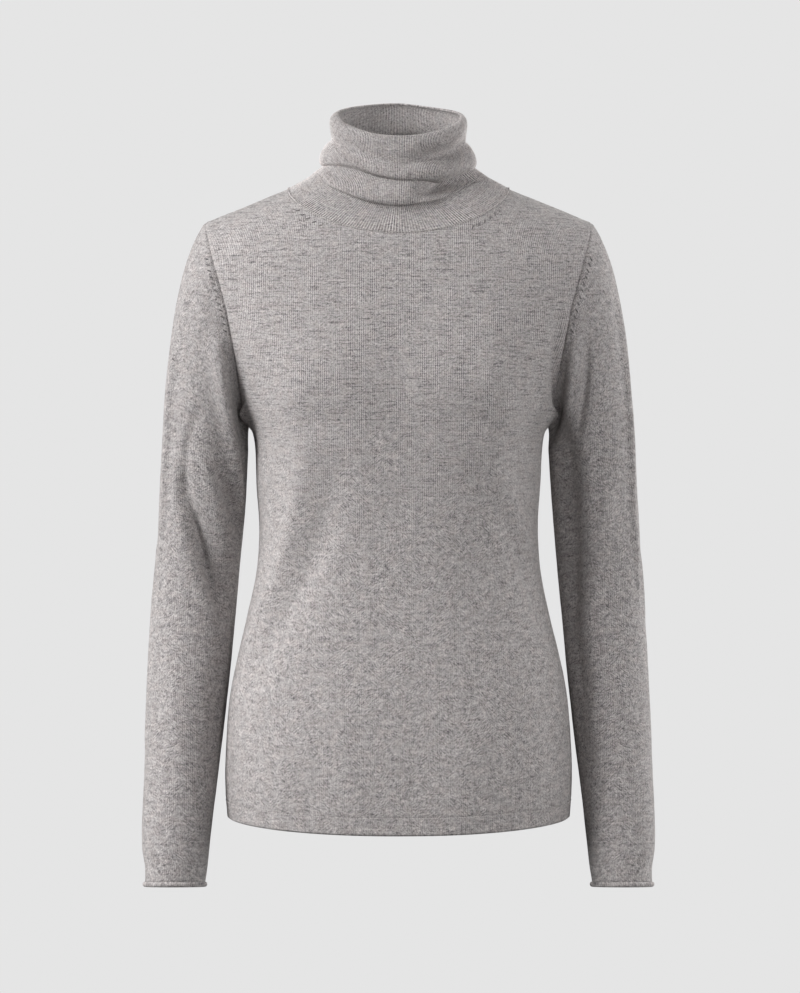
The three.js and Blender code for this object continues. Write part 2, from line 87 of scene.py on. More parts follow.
class Table:
    """Rows of named columns, read at any place on a smooth curve through them."""

    def __init__(self, columns, rows, period=None):
        values = np.array(rows, float).T
        self.places = values[0]
        self.columns = dict(zip(columns.split(), values))
        self.period = period

    def read(self, column, where):
        places = self.places
        values = self.columns[column]
        where = np.asarray(where, float)
        if self.period:
            where = where % self.period
            places = np.concatenate([places[-1:] - self.period, places, places[:2] + self.period])
            values = np.concatenate([values[-1:], values, values[:2]])
        slopes = np.empty_like(values)
        slopes[1:-1] = (values[2:] - values[:-2]) / (places[2:] - places[:-2])
        slopes[0] = (values[1] - values[0]) / (places[1] - places[0])
        slopes[-1] = (values[-1] - values[-2]) / (places[-1] - places[-2])
        i = np.clip(np.searchsorted(places, where, side="right") - 1, 0, len(places) - 2)
        step = places[i + 1] - places[i]
        t = np.clip((where - places[i]) / step, 0, 1)
        ease = t * t * (3 - 2 * t)
        bend = t * (1 - t) * step * ((1 - t) * slopes[i] - t * slopes[i + 1])
        return values[i] * (1 - ease) + values[i + 1] * ease + bend


TORSO = Table("height half front back", [
    (-620, 161.5, 103, 105),
    (-560, 165, 103, 107),
    (-520, 163.5, 101, 105),
    (-480, 160, 98, 100),
    (-440, 152, 94, 93),
    (-400, 142.5, 91, 84),
    (-360, 134.5, 90, 77),
    (-320, 132, 93, 75),
    (-280, 134.5, 98, 79),
    (-240, 136.5, 104, 85),
    (-222, 141, 106.5, 87.5),
    (-200, 151.4, 108.5, 90),
    (-170, 163, 108, 92),
    (-127, 179.5, 99, 92),
    (-80, 193, 86, 84),
    (-40, 199, 76, 70),
    (0, 201, 68, 55),
    (40, 202, 60, 50),
])

ARMHOLE = Table("height x", [
    (-222, 141),
    (-208, 146),
    (-190, 149),
    (-163, 152.5),
    (-127, 158.5),
    (-108, 162.5),
    (-58, 176.5),
    (-32, 183),
])

SLEEVE = Table("height inner outer front back", [
    (-652.5, 183.6, 240.2, -55, 9),
    (-638, 181.2, 240.4, -54, 11),
    (-622, 179.4, 243.2, -52, 16),
    (-600, 176.9, 243.7, -48, 24),
    (-550, 171.2, 242.2, -38, 40),
    (-500, 165.4, 240.8, -30, 50),
    (-450, 160.2, 238.5, -22, 58),
    (-400, 155.5, 235.6, -18, 62),
    (-350, 150.8, 231.9, -20, 62),
    (-300, 146.2, 228.8, -28, 58),
    (-250, 142.8, 225.7, -38, 52),
])
CAP_END = -250.0
ARRIVAL_STEP = 10.0
# Which way the cap's cloth leaves the armhole at its top and under the arm, and how far each end draws it
CAP_LEAVES = np.array([0.62, 0, -0.78])
UNDERARM_LEAVES = np.array([0.35, 0, -0.94])
CAP_FORWARD = 0.2
CAP_PULL = {"start": 0.68, "end": 0.8}

COLLAR = Table("azimuth z1 z2 z3 rim r1 r2 r3 band top roll1 roll2", [
    (0, -16.5, 7.5, 20, 46.5, 56, 55, 56, 59, 56, 9.5, 6.5),
    (22.5, -14.5, 7, 23, 48, 58, 55, 55, 60, 56.5, 9, 8),
    (45, -8, 6.5, 28, 53.5, 63, 54, 55, 62, 57.5, 7, 11),
    (67.5, 3, 13.5, 35, 60.5, 74, 60, 58, 64, 58.5, 4, 11),
    (90, 10, 21, 43, 69, 85, 69, 63, 64.5, 58.5, 0, 7),
    (135, 14, 29, 52, 78, 69, 62, 60, 62, 57, 3, 7),
    (180, 17, 33, 54, 84, 57, 57, 55, 58, 54, 5, 7),
    (225, 15, 31, 50, 80, 69, 63, 60, 61.5, 56.5, 4, 6),
    (270, 10, 23, 45, 71, 85, 69, 63, 65, 57, 0, 8),
    (292.5, 4, 21, 40, 62.5, 76, 63.5, 62, 64, 57.5, 3, 5),
    (315, -7, 17.5, 34, 55, 66, 58.5, 60, 62.5, 58, 6.5, 3.5),
    (337.5, -14, 10.5, 26, 48.5, 58, 55.5, 58, 60.5, 57, 9, 5),
], period=360)
# How far the collar's rolls sag, how full they are, and how its rim curls in
ROLL_DROOP = 0.6
ROLL_FULLNESS = 0.8
RIM_CURL = 8.0
RIM_CURL_SHARE = 0.4

# Soft folds: each a bent line from start past bend to end, a ridge or, where lift is negative, a trough.
FOLD_COLUMNS = "turn1 z1 turn2 z2 turn3 z3 width lift"
FOLD_SAMPLES = 61
FOLD_END_SHARE = 0.45
# On the body turn is 0 at centre front, 90 at the left side seam and 180 at centre back.
BODY_FOLDS = Table(FOLD_COLUMNS, [
    (80, -216, 82, -214, 84, -212, 10, 8.5),
    (-80, -216, -82, -214, -84, -212, 10, 8.5),
    (-36, -240, -46, -330, -72, -425, 15, 4.6),
    (-22, -262, -34, -360, -60, -460, 16, -4.2),
    (-20, -470, -14, -520, -16, -590, 11, 1.6),
    (2, -490, 6, -540, 4, -596, 12, -1.6),
    (22, -500, 20, -550, 20, -596, 12, 1.4),
    (-44, -520, -38, -560, -40, -596, 12, 1.6),
    (34, -212, 26, -222, 14, -220, 15, -1.6),
    (-38, -208, -26, -222, -12, -220, 15, -1.6),
    (82, -126, 84, -165, 86, -200, 9, -6),
    (2, -120, 1, -200, -1, -300, 36, -8),
    (36, -140, 38, -200, 42, -265, 24, 5.5),
    (-36, -160, -40, -200, -44, -240, 24, 3),
    (34, -240, 50, -300, 70, -352, 12, 2.2),
    (44, -300, 58, -350, 72, -420, 13, -2.6),
    (50, -420, 62, -480, 64, -560, 15, -2),
    (128, -240, 118, -300, 108, -380, 16, 3),
    (-126, -230, -120, -300, -110, -370, 16, 3),
    (150, -300, 140, -350, 122, -430, 17, -2.6),
    (-148, -310, -140, -350, -124, -440, 17, -2.6),
    (176, -470, 172, -530, 176, -596, 13, 1.6),
    (-160, -480, -164, -540, -160, -596, 12, -1.6),
    (146, -500, 150, -550, 148, -596, 12, 1.5),
]).columns
BODY_MM_PER_DEGREE = 2.2

# On the collar turn is its azimuth.
COLLAR_FOLDS = Table(FOLD_COLUMNS, [
    (-64, 13, -46, 11, -30, 3, 2.4, -2.6),
    (16, -7, 42, -2, 70, 10, 6, -13),
    (24, 27, 50, 33, 78, 41, 5, -3),
    (-28, 38, -4, 35, 16, 40, 4, -0.9),
    (20, 44, 50, 36, 72, 40, 5, 1.2),
    (100, 28, 126, 22, 150, 26, 4, -2),
    (168, 44, 196, 40, 222, 46, 4, -1.6),
]).columns
COLLAR_MM_PER_DEGREE = 1.15

# Round a sleeve turn is 0 towards the body, 90 in front, 180 outside and 270 behind. The folds of its cap
# rise from nothing at the seam, this many times as fast as they would over the whole cap.
CAP_FOLD_RISE = 5
SLEEVE_FOLDS = {
    "right": Table(FOLD_COLUMNS, [
        (144, -100, 145, -190, 152, -345, 5, 4.5),
        (164, -130, 166, -220, 172, -330, 5, -3),
        (172, -345, 176, -420, 170, -520, 9, 1.6),
        (92, -150, 66, -205, 26, -300, 6.5, 10),
        (100, -210, 116, -250, 116, -300, 6, -2.4),
        (54, -182, 34, -206, 10, -245, 5, -6),
        (114, -276, 92, -326, 46, -402, 8, -11),
        (86, -316, 66, -350, 34, -392, 13, -8),
        (68, -268, 46, -300, 20, -324, 7, -6),
        (86, -258, 66, -304, 46, -338, 8, 5),
        (84, -376, 66, -398, 34, -420, 9, 2),
        (40, -430, 36, -500, 40, -560, 11, -2.4),
        (110, -440, 100, -500, 84, -560, 14, 1.8),
        (214, -200, 220, -270, 212, -340, 9, 3),
        (240, -300, 262, -350, 320, -410, 9, -4.5),
        (256, -260, 290, -300, 330, -330, 9, -3.5),
        (270, -360, 296, -390, 330, -410, 9, 2.5),
        (250, -460, 262, -520, 270, -570, 12, 1.8),
    ]).columns,
    "left": Table(FOLD_COLUMNS, [
        (158, -110, 144, -215, 148, -375, 4.5, 4.5),
        (170, -150, 164, -230, 168, -340, 5, -3),
        (150, -328, 160, -350, 172, -400, 7, 2),
        (90, -145, 75, -180, 54, -216, 5, 5.5),
        (104, -145, 90, -186, 72, -226, 5, -6.5),
        (60, -160, 42, -192, 16, -232, 8, -7),
        (46, -215, 54, -303, 42, -385, 15, -9),
        (108, -270, 104, -312, 84, -362, 9, 4.5),
        (96, -372, 80, -396, 46, -420, 10, 3),
        (36, -360, 44, -430, 34, -530, 13, -6),
        (112, -450, 104, -510, 90, -570, 14, 1.8),
        (214, -200, 222, -270, 214, -340, 9, 3),
        (236, -310, 258, -360, 316, -420, 9, -4.5),
        (252, -260, 286, -300, 328, -330, 9, -3.5),
        (268, -370, 294, -400, 328, -420, 9, 2.5),
    ]).columns,
}
SLEEVE_MM_PER_DEGREE = 0.75

# The waviness of cloth that lies on nothing
BROAD_WAVE = 0.22
SMALL_WAVE = 0.07

# How the shells are divided
PANEL_COLUMNS = 132
LOWER_ROWS = 112
ARMHOLE_ROWS = 76
CAP_ROWS = 44
TUBE_ROWS = 110
COLLAR_STEPS_PER_RIB = 4
ROWS_PER_ROLL = 12
SEAM_STEPS = (0.6, 1.3, 2.2, 3.4, 5.0)
# Rows and columns this close to a seam's own are left out, as shares of an even step and of the armhole
SPARE_STEP = 0.4
SPARE_RISE = 0.002
HEM_STEPS = (0, 0.08, 0.2, 0.35, 0.5, 0.65, 0.78, 0.86, 0.93, 1)
# Rough lengths over which rows and columns are spread, and how far rows crowd towards an armhole's ends
PANEL_RUN = 420
ARMHOLE_RUN = 190
CAP_RUN = 150
CROWDING = 0.6
# Cloth coordinates rise along a panel's profile at this distance from its middle, found at this many levels
UV_PROFILE_X = 60.0
UV_LEVELS = 200

# A seam's groove, and the cloth that swells beside it
SEAM_DEPTH = 0.8
SEAM_WIDTH = 1.5
SEAM_SWELL = 0.35
SEAM_SWELL_AT = 3.6
SEAM_SWELL_WIDTH = 2.2
LINKED_SHARE = 0.35
SEWN_SHARE = 0.6
# How far walls stay back from a seam, how near the armpit's point their normals turn downwards, and how far
# rounded edges bulge, as a share of the wall
SEAM_GAP = 0.05
ARMPIT_REACH = 1.0
ROUND_END_SHARE = 0.45

# Rows of small stitches: spacing along the row, their half lengths, and how far they slant
NECK_LINKS = {"spacing": 2.3, "half": (1.2, 0.7, 0.5), "slant": 24, "raised": 0.45}
HEM_LINKS = {"spacing": 2.1, "half": (0.75, 0.45, 0.4), "slant": 0, "raised": 0.2}
FASHIONING = {"spacing": 6.5, "half": (2.6, 0.75, 0.55), "slant": 48, "raised": 0.3}
# How far in from an edge each row runs, and where the fashioning marks begin and end
NECK_LINKS_IN = 1.1
HEM_LINKS_IN = 0.9
FASHIONING_IN = 8.0
NECK_MARKS_X = (66, 97)
CAP_MARKS_Z = (-140, -62)


def lerp(a, b, t):
    return a + (b - a) * t


def power(base, exponent):
    return np.sign(base) * np.abs(base) ** exponent


def between(values, limits):
    return (values > limits[0]) & (values < limits[1])


def unit(vectors):
    return vectors / np.maximum(np.linalg.norm(vectors, axis=-1, keepdims=True), 1e-9)


def points(x, y, z):
    return np.stack(np.broadcast_arrays(x, y, z), axis=-1).astype(float)


def graded(count, length):
    """Shares from 0 to 1 in even steps, with closer ones near both ends for the seams there."""
    near = np.array(SEAM_STEPS) / length
    even = np.linspace(0, 1, count + 1)
    clear = near[-1] + SPARE_STEP / count
    even = even[between(even, (clear, 1 - clear))]
    return np.concatenate([[0], near, even, 1 - near[::-1], [1]])


def lift(folds, mm_per_degree, turn, z):
    """How far a table of folds lifts the cloth at each place."""
    total = np.zeros(np.broadcast(turn, z).shape)
    along = np.linspace(0, 1, FOLD_SAMPLES)
    for k in range(len(folds["lift"])):
        line = {}
        for axis in ("turn", "z"):
            a, b, c = (folds[f"{axis}{n}"][k] for n in (1, 2, 3))
            line[axis] = (1 - along) ** 2 * a + 2 * along * (1 - along) * b + along**2 * c
        across = (turn[..., None] - line["turn"] + 180) % 360 - 180
        away = np.hypot(across * mm_per_degree, z[..., None] - line["z"])
        nearest = away.argmin(axis=-1)
        fade = FOLD_END_SHARE + (1 - FOLD_END_SHARE) * np.sin(np.pi * along[nearest])
        total += folds["lift"][k] * fade * np.exp(-((away.min(axis=-1) / folds["width"][k]) ** 2))
    return total


def unevenness(p):
    """The slight waviness of cloth that lies on nothing, in millimetres."""
    x, y, z = p[..., 0], p[..., 1], p[..., 2]
    broad = np.sin(x / 13 + 0.7 * np.sin(z / 31)) * np.sin(z / 17 + 0.9 * np.sin(x / 23 + y / 19))
    small = np.sin(x / 5.1 + z / 9.3 + 1.3) * np.sin(z / 6.7 - y / 5.9 + 0.4)
    return BROAD_WAVE * broad + SMALL_WAVE * small


def torso_depth(face, x, z):
    half = TORSO.read("half", z)
    across = np.maximum(1 - np.minimum(np.abs(x) / half, 1) ** ROUNDNESS, 0) ** (1 / ROUNDNESS)
    shoulder = SHOULDER_TIP_Z * (np.abs(x) - NECK_HALF) / (SHOULDER_TIP_X - NECK_HALF)
    rounding = TOP_ROUNDING_AT_NECK - TOP_ROUNDING_PER_MM * np.abs(x)
    below = np.minimum(np.maximum(shoulder - z, 0) / rounding, 1)
    return TORSO.read(face, z) * across * np.sqrt(1 - (1 - below) ** 2)


def torso_points(face, x, z, turn):
    way = -1 if face == "front" else 1
    y = way * torso_depth(face, x, z)
    outwards = unit(np.stack([x / TORSO.read("half", z) ** 2, y / TORSO.read(face, z) ** 2], axis=-1))
    degrees = np.degrees(turn) if face == "front" else 180 - np.degrees(turn)
    up = lift(BODY_FOLDS, BODY_MM_PER_DEGREE, degrees, z)
    return points(x + up * outwards[..., 0], y + up * outwards[..., 1], z)


# The solids divide a panel's top edge so: this share of its columns lies on each shoulder.
SHOULDER_SHARE = 1 / 6


def neck_edge(face, azimuth):
    """The neckline at angles in radians from the centre of a panel."""
    forward = np.maximum(np.cos(azimuth), 0) ** NECK_SCOOP[face]
    middle_z = -NECK_FRONT_DROP if face == "front" else NECK_BACK_RISE
    return NECK_HALF * np.sin(azimuth), middle_z * forward


def panel_top(face, column):
    from_tip = np.minimum(column, 1 - column)
    on_shoulder = from_tip <= SHOULDER_SHARE
    side = np.where(column < 0.5, -1, 1)
    shoulder_x = lerp(SHOULDER_TIP_X, NECK_HALF, from_tip / SHOULDER_SHARE)
    shoulder_z = SHOULDER_TIP_Z * (shoulder_x - NECK_HALF) / (SHOULDER_TIP_X - NECK_HALF)
    azimuth = np.pi * ((column - SHOULDER_SHARE) / (1 - 2 * SHOULDER_SHARE) - 0.5)
    neck_x, neck_z = neck_edge(face, azimuth)
    return np.where(on_shoulder, side * shoulder_x, neck_x), np.where(on_shoulder, shoulder_z, neck_z)


def hem_edge(turn):
    return HEM_SIDE - HEM_FRONT_DROP * np.cos(turn) ** 2


def body_columns():
    """Where a panel's columns stand, as shares of its width and as angles from its centre."""
    share = graded(PANEL_COLUMNS, PANEL_RUN)
    corner = np.array([SHOULDER_SHARE, 1 - SHOULDER_SHARE])
    share = np.unique(np.round(np.concatenate([share, corner]), 9))
    return share, np.pi * (share - 0.5)


def armhole_rises():
    """Shares of the armhole's height at which rows stand."""
    t = np.linspace(0, 1, ARMHOLE_ROWS + 1)
    rise = CROWDING * (1 - np.cos(np.pi * t)) / 2 + (1 - CROWDING) * t
    near_top = 1 - np.array(SEAM_STEPS[::-1]) / ARMHOLE_RUN
    return np.concatenate([rise[rise < near_top[0] - SPARE_RISE], near_top, [1]])


def panel_grid(face):
    """A panel's outer surface: rows from the hem band up, columns from -X to +X."""
    share, turn = body_columns()
    across = power(np.sin(turn), 2 / ROUNDNESS)
    low = hem_edge(turn) + HEM_BAND
    fractions = graded(LOWER_ROWS, UNDERARM_Z - HEM_SIDE)[:-len(SEAM_STEPS) - 1]
    fractions = np.append(fractions, 1)[:, None]
    lower_z = lerp(low[None, :], UNDERARM_Z, fractions)
    lower_x = across * TORSO.read("half", lower_z)
    rise = armhole_rises()[1:, None]
    top_x, top_z = panel_top(face, share)
    edge = ARMHOLE.read("x", lerp(UNDERARM_Z, SHOULDER_TIP_Z, rise))
    upper_x = edge * lerp(across, top_x / SHOULDER_TIP_X, rise)
    upper_z = lerp(UNDERARM_Z, top_z, rise)
    x = np.concatenate([lower_x, upper_x])
    z = np.concatenate([lower_z, upper_z])
    return torso_points(face, x, z, np.broadcast_to(turn, x.shape))


def hem_grid(face):
    """A hem band's outer surface, from its edge up to the panel's lowest row."""
    _, turn = body_columns()
    z = hem_edge(turn)[None, :] + HEM_BAND * np.array(HEM_STEPS)[:, None]
    x = power(np.sin(turn), 2 / ROUNDNESS) * TORSO.read("half", z)
    return torso_points(face, x, z, np.broadcast_to(turn, x.shape))


def sleeve_ring(side, turn, z):
    inner, outer, fore, aft = (SLEEVE.read(c, z) for c in ("inner", "outer", "front", "back"))
    x = side * ((inner + outer) / 2 - np.cos(turn) * (outer - inner) / 2)
    y = (fore + aft) / 2 - np.sin(turn) * (aft - fore) / 2
    tilted = np.clip((CUFF_TILT_FROM - np.asarray(z)) / (CUFF_TILT_FROM - SLEEVE_END), 0, 1)
    return points(x, y, z - CUFF_TILT_DROP * tilted * (1 - np.sin(turn)) / 2)


def sleeve_grid(side, front, back):
    """A sleeve's outer surface: columns round from the underarm by the front, rows down to the cuff."""
    edge = -1 if side > 0 else 0
    rises = armhole_rises()
    rows = len(rises) - 1
    fore = front[-rows - 1:, edge]
    aft = back[-rows - 1:, edge]
    seam = np.concatenate([fore, aft[-2:0:-1]])
    half_turn = np.arccos(1 - 2 * rises)
    turn = np.concatenate([half_turn, 2 * np.pi - half_turn[-2:0:-1]])
    t = graded(CAP_ROWS, CAP_RUN)[:-len(SEAM_STEPS) - 1]
    t = np.append(t, 1)[:, None, None]
    end = sleeve_ring(side, turn, CAP_END)
    leaves = lerp(UNDERARM_LEAVES, CAP_LEAVES, ((1 - np.cos(turn)) / 2)[:, None])
    leaves = unit(points(side * leaves[:, 0], -CAP_FORWARD * np.sin(turn), leaves[:, 2]))
    arrives = unit(sleeve_ring(side, turn, CAP_END - ARRIVAL_STEP) - end)
    length = np.linalg.norm(seam - end, axis=-1)[:, None]
    ease = t * t * (3 - 2 * t)
    cap = lerp(seam, end, ease) + leaves * CAP_PULL["start"] * length * t * (1 - t) ** 2
    cap = cap - arrives * CAP_PULL["end"] * length * t * t * (1 - t)
    z = np.linspace(CAP_END, SLEEVE_END, TUBE_ROWS + 1)[1:, None]
    grid = np.concatenate([cap, sleeve_ring(side, turn[None, :], z)])
    outwards = points(-side * np.cos(turn), -np.sin(turn), 0)
    folds = SLEEVE_FOLDS["left" if side > 0 else "right"]
    degrees = np.broadcast_to(np.degrees(turn), grid.shape[:2])
    up = lift(folds, SLEEVE_MM_PER_DEGREE, degrees, grid[..., 2])
    begins = np.ones(len(grid))
    begins[:len(t)] = np.clip(t[:, 0, 0] * CAP_FOLD_RISE, 0, 1)
    return grid + outwards * (up * begins[:, None])[..., None]


def collar_grid(azimuth):
    """The collar's outer surface at given azimuths in degrees, rows from the seam to the rim."""
    turn = np.radians(azimuth)
    on_front = np.cos(turn) >= 0
    from_centre = np.arcsin(np.sin(turn))
    middle = np.zeros_like(turn)
    front_edge = torso_points("front", *neck_edge("front", from_centre), middle)
    back_edge = torso_points("back", *neck_edge("back", from_centre), middle)
    seam = np.where(on_front[:, None], front_edge, back_edge)

    def ring(radius, z):
        return points(radius * np.sin(turn), NECK_AXIS_Y - radius * np.cos(turn), z)

    def at(column):
        return COLLAR.read(column, azimuth)

    creases = [seam, *(ring(at(f"r{i}"), at(f"z{i}")) for i in (1, 2, 3))]
    rows = [seam]
    for roll in range(3):
        for t in np.linspace(0, 1, ROWS_PER_ROLL + 1)[1:]:
            swell = at(f"roll{roll}") * np.sin(np.pi * t) ** ROLL_FULLNESS if roll else 0 * azimuth
            drop = ROLL_DROOP * swell * 2 * (1 - t)
            out = points(swell * np.sin(turn), -swell * np.cos(turn), -drop)
            rows.append(lerp(creases[roll], creases[roll + 1], t) + out)
    for t in np.linspace(0, 1, ROWS_PER_ROLL + 1)[1:]:
        up = min(t / (1 - RIM_CURL_SHARE), 1)
        curl = np.pi / 2 * max(t + RIM_CURL_SHARE - 1, 0) / RIM_CURL_SHARE
        ease = up * up * (3 - 2 * up)
        radius = lerp(at("r3"), at("band"), ease) - (at("band") - at("top")) * (1 - np.cos(curl))
        rows.append(ring(radius, lerp(at("z3"), at("rim") - RIM_CURL, up) + RIM_CURL * np.sin(curl)))
    grid = np.array(rows)
    wide = (azimuth + 180) % 360 - 180
    up = lift(COLLAR_FOLDS, COLLAR_MM_PER_DEGREE, np.broadcast_to(wide, grid.shape[:2]), grid[..., 2])
    return grid + up[..., None] * points(np.sin(turn), -np.cos(turn), 0)


def normals(grid, closed, outside):
    """Unit normals of a grid of points, outwards."""
    if closed:
        wrapped = np.concatenate([grid[:, -1:], grid, grid[:, :1]], axis=1)
        across = wrapped[:, 2:] - wrapped[:, :-2]
    else:
        across = np.gradient(grid, axis=1)
    up = np.gradient(grid, axis=0)
    return unit(np.cross(across, up) * outside)


def distances(grid, axis):
    """How far each point lies from the grid's start and from its end, along one axis."""
    steps = np.linalg.norm(np.diff(grid, axis=axis), axis=-1)
    start = np.cumsum(steps, axis=axis)
    pad = [(0, 0), (0, 0)]
    pad[axis] = (1, 0)
    start = np.pad(start, pad)
    total = start[-1:] if axis == 0 else start[:, -1:]
    return start, total - start


def groove(away, share):
    """The relief of a seam at a distance from it, sunk by a share of the full depth."""
    swell = SEAM_SWELL * np.exp(-(((away - SEAM_SWELL_AT) / SEAM_SWELL_WIDTH) ** 2))
    return share * (swell - SEAM_DEPTH * np.exp(-((away / SEAM_WIDTH) ** 2)))


class Sheet:
    """A grid of cloth with its normals, and what is needed to give it a wall."""

    def __init__(self, grid, closed, outside, wall):
        self.grid = grid
        self.closed = closed
        self.outside = outside
        self.wall = wall
        self.normals = normals(grid, closed, outside)
        self.relief = unevenness(grid)

    def edges(self):
        """Indices of the sheet's free edges."""
        mask = np.zeros(self.grid.shape[:2], bool)
        mask[[0, -1]] = True
        if not self.closed:
            mask[:, [0, -1]] = True
        return np.nonzero(mask)


def share_seams(sheets):
    """Gives points that meet at a seam one normal, which is downwards in the armpit."""
    found = [(s, s.edges()) for s in sheets]
    places = np.concatenate([s.grid[e] for s, e in found])
    directions = np.concatenate([s.normals[e] for s, e in found])
    _, which = np.unique(np.round(places, 2), axis=0, return_inverse=True)
    which = which.reshape(-1)
    shared = np.stack([np.bincount(which, directions[:, i]) for i in range(3)], axis=-1)
    shared = unit(shared)[which]
    armpit = np.hypot(np.abs(places[:, 0]) - UNDERARM_X, places[:, 2] - UNDERARM_Z) < ARMPIT_REACH
    shared[armpit] = (0, 0, -1)
    start = 0
    for s, e in found:
        count = len(e[0])
        s.normals[e] = shared[start:start + count]
        start += count


def tube_uv(sheet, from_end=False):
    """Metres across the wales and along them, measured over a tube from its first or last row."""
    grid = sheet.grid
    if sheet.closed:
        grid = np.concatenate([grid, grid[:, :1]], axis=1)
    start, _ = distances(grid, 1)
    middle = start[:, start.shape[1] // 2][:, None]
    from_start, to_end = distances(grid, 0)
    along = -to_end if from_end else from_start
    return np.stack([start - middle, along], axis=-1) * MM


def panel_uv(face, sheet):
    """Metres across a panel from its middle, and up along it, so that courses run level."""
    level = sheet.grid * (1, 1, 0)
    start, _ = distances(level, 1)
    middle = start[:, start.shape[1] // 2][:, None]
    heights = np.linspace(HEM_SIDE - 2 * HEM_BAND, HEM_BAND, UV_LEVELS)
    profile = torso_points(face, np.full(UV_LEVELS, UV_PROFILE_X), heights, np.zeros(UV_LEVELS))
    along = np.concatenate([[0], np.cumsum(np.linalg.norm(np.diff(profile, axis=0), axis=-1))])
    return np.stack([start - middle, np.interp(sheet.grid[..., 2], heights, along)], axis=-1) * MM


def wall_mesh(name, sheet, uv, round_ends=False, gap=0.0):
    """A sheet's closed wall as a mesh object, with its cloth coordinates in metres."""
    height, width = sheet.grid.shape[:2]
    outer = sheet.grid + sheet.normals * sheet.relief[..., None]
    inner = sheet.grid - sheet.normals * sheet.wall
    if gap:
        outer = draw_in(outer, sheet.closed, gap)
        inner = draw_in(inner, sheet.closed, gap)
    spans = width if sheet.closed else width - 1
    layers = [outer.reshape(-1, 3), inner.reshape(-1, 3)]
    i, j = np.meshgrid(np.arange(height - 1), np.arange(spans), indexing="ij")
    right = (j + 1) % width
    a, b, c, d = i * width + j, i * width + right, (i + 1) * width + right, (i + 1) * width + j
    corners = [(i, j), (i, j + 1), (i + 1, j + 1), (i + 1, j)]
    quads = [np.stack([a, b, c, d], axis=-1).reshape(-1, 4)]
    uvs = [np.stack([uv[p, q] for p, q in corners], axis=-2).reshape(-1, 4, 2)]
    shift = height * width
    quads.append(quads[0][:, ::-1] + shift)
    uvs.append(uvs[0][:, ::-1])

    def strip(first, second, coordinates, flip):
        """Quads between two equal rows of vertices."""
        closed_strip = len(first) + 1 == len(coordinates)
        n = len(first) if closed_strip else len(first) - 1
        k = np.arange(n)
        m = (k + 1) % len(first)
        q = np.stack([first[k], first[m], second[m], second[k]], axis=-1)
        t = np.stack([coordinates[k], coordinates[k + 1], coordinates[k + 1], coordinates[k]], axis=-2)
        quads.append(q[:, ::-1] if flip else q)
        uvs.append(t[:, ::-1] if flip else t)

    index = np.arange(height * width).reshape(height, width)
    count = 2 * shift
    for row, inside_row, flip in ((0, 1, True), (height - 1, height - 2, False)):
        ends = [index[row], index[row] + shift]
        if round_ends:
            middle = (outer[row] + inner[row]) / 2
            away = unit(outer[row] - outer[inside_row])
            layers.append(middle + away * sheet.wall * ROUND_END_SHARE)
            ends.insert(1, np.arange(width) + count)
            count += width
        for first, second in zip(ends[:-1], ends[1:]):
            strip(first, second, uv[row], flip)
    if not sheet.closed:
        strip(index[:, 0], index[:, 0] + shift, uv[:, 0], False)
        strip(index[:, -1], index[:, -1] + shift, uv[:, -1], True)
    quads = np.concatenate(quads)
    uvs = np.concatenate(uvs)
    if sheet.outside < 0:
        quads = quads[:, ::-1]
        uvs = uvs[:, ::-1]
    return mesh_object(name, np.concatenate(layers), quads, uvs)


def draw_in(grid, closed, gap):
    """Moves a grid's free edges in along the cloth, so that neighbouring walls stay apart."""
    moved = grid.copy()
    moved[0] += unit(grid[1] - grid[0]) * gap
    moved[-1] += unit(grid[-2] - grid[-1]) * gap
    if not closed:
        moved[:, 0] += unit(grid[:, 1] - grid[:, 0]) * gap
        moved[:, -1] += unit(grid[:, -2] - grid[:, -1]) * gap
    return moved


def mesh_object(name, vertices, quads, uvs):
    """A mesh object from points in millimetres, quads and each corner's cloth coordinates."""
    mesh = bpy.data.meshes.new(name)
    mesh.vertices.add(len(vertices))
    mesh.vertices.foreach_set("co", (np.asarray(vertices) * MM).ravel())
    mesh.loops.add(quads.size)
    mesh.loops.foreach_set("vertex_index", quads.ravel().astype(np.int32))
    mesh.polygons.add(len(quads))
    mesh.polygons.foreach_set("loop_start", np.arange(0, quads.size, 4, dtype=np.int32))
    mesh.polygons.foreach_set("use_smooth", np.ones(len(quads), bool))
    mesh.uv_layers.new(name="cloth").data.foreach_set("uv", uvs.reshape(-1, 2).ravel())
    mesh.update(calc_edges=True)
    mesh.validate()
    piece = bpy.data.objects.new(name, mesh)
    bpy.context.scene.collection.objects.link(piece)
    return piece


def link(tree, value, socket):
    if isinstance(value, bpy.types.NodeSocket):
        tree.links.new(value, socket)
    else:
        socket.default_value = value


def add(tree, kind, inputs=None, **settings):
    """A node with its settings and with its inputs, by name or number, set or linked."""
    made = tree.nodes.new(kind)
    for name, value in settings.items():
        setattr(made, name, value)
    for name, value in (inputs or {}).items():
        link(tree, value, made.inputs[name])
    return made


def calc(tree, operation, a, b=0.0, c=0.0, clamp=False):
    made = add(tree, "ShaderNodeMath", {0: a, 1: b, 2: c}, operation=operation, use_clamp=clamp)
    return made.outputs[0]


# Each random pattern in the wool: millimetres across and along, then its detail, roughness and distortion
PATTERNS = {
    "border": (60, 45, 2, 0.5, 0),
    "slubs": (17, 1.7, 2, 0.6, 0),
    "pale": (22, 2.4, 2, 0.5, 0),
    "marble": (7, 5, 3, 0.65, 0.6),
    "fibres": (2.7, 1.2, 3, 0.75, 0),
    "leaning": (28, 34, 1, 0.5, 0),
    "fuzz": (2.2, 1.6, 3, 0.75, 0.6),
    "knit": (26, 40, 2, 0.5, 0),
    "tint": (11, 9, 2, 0.5, 0),
}
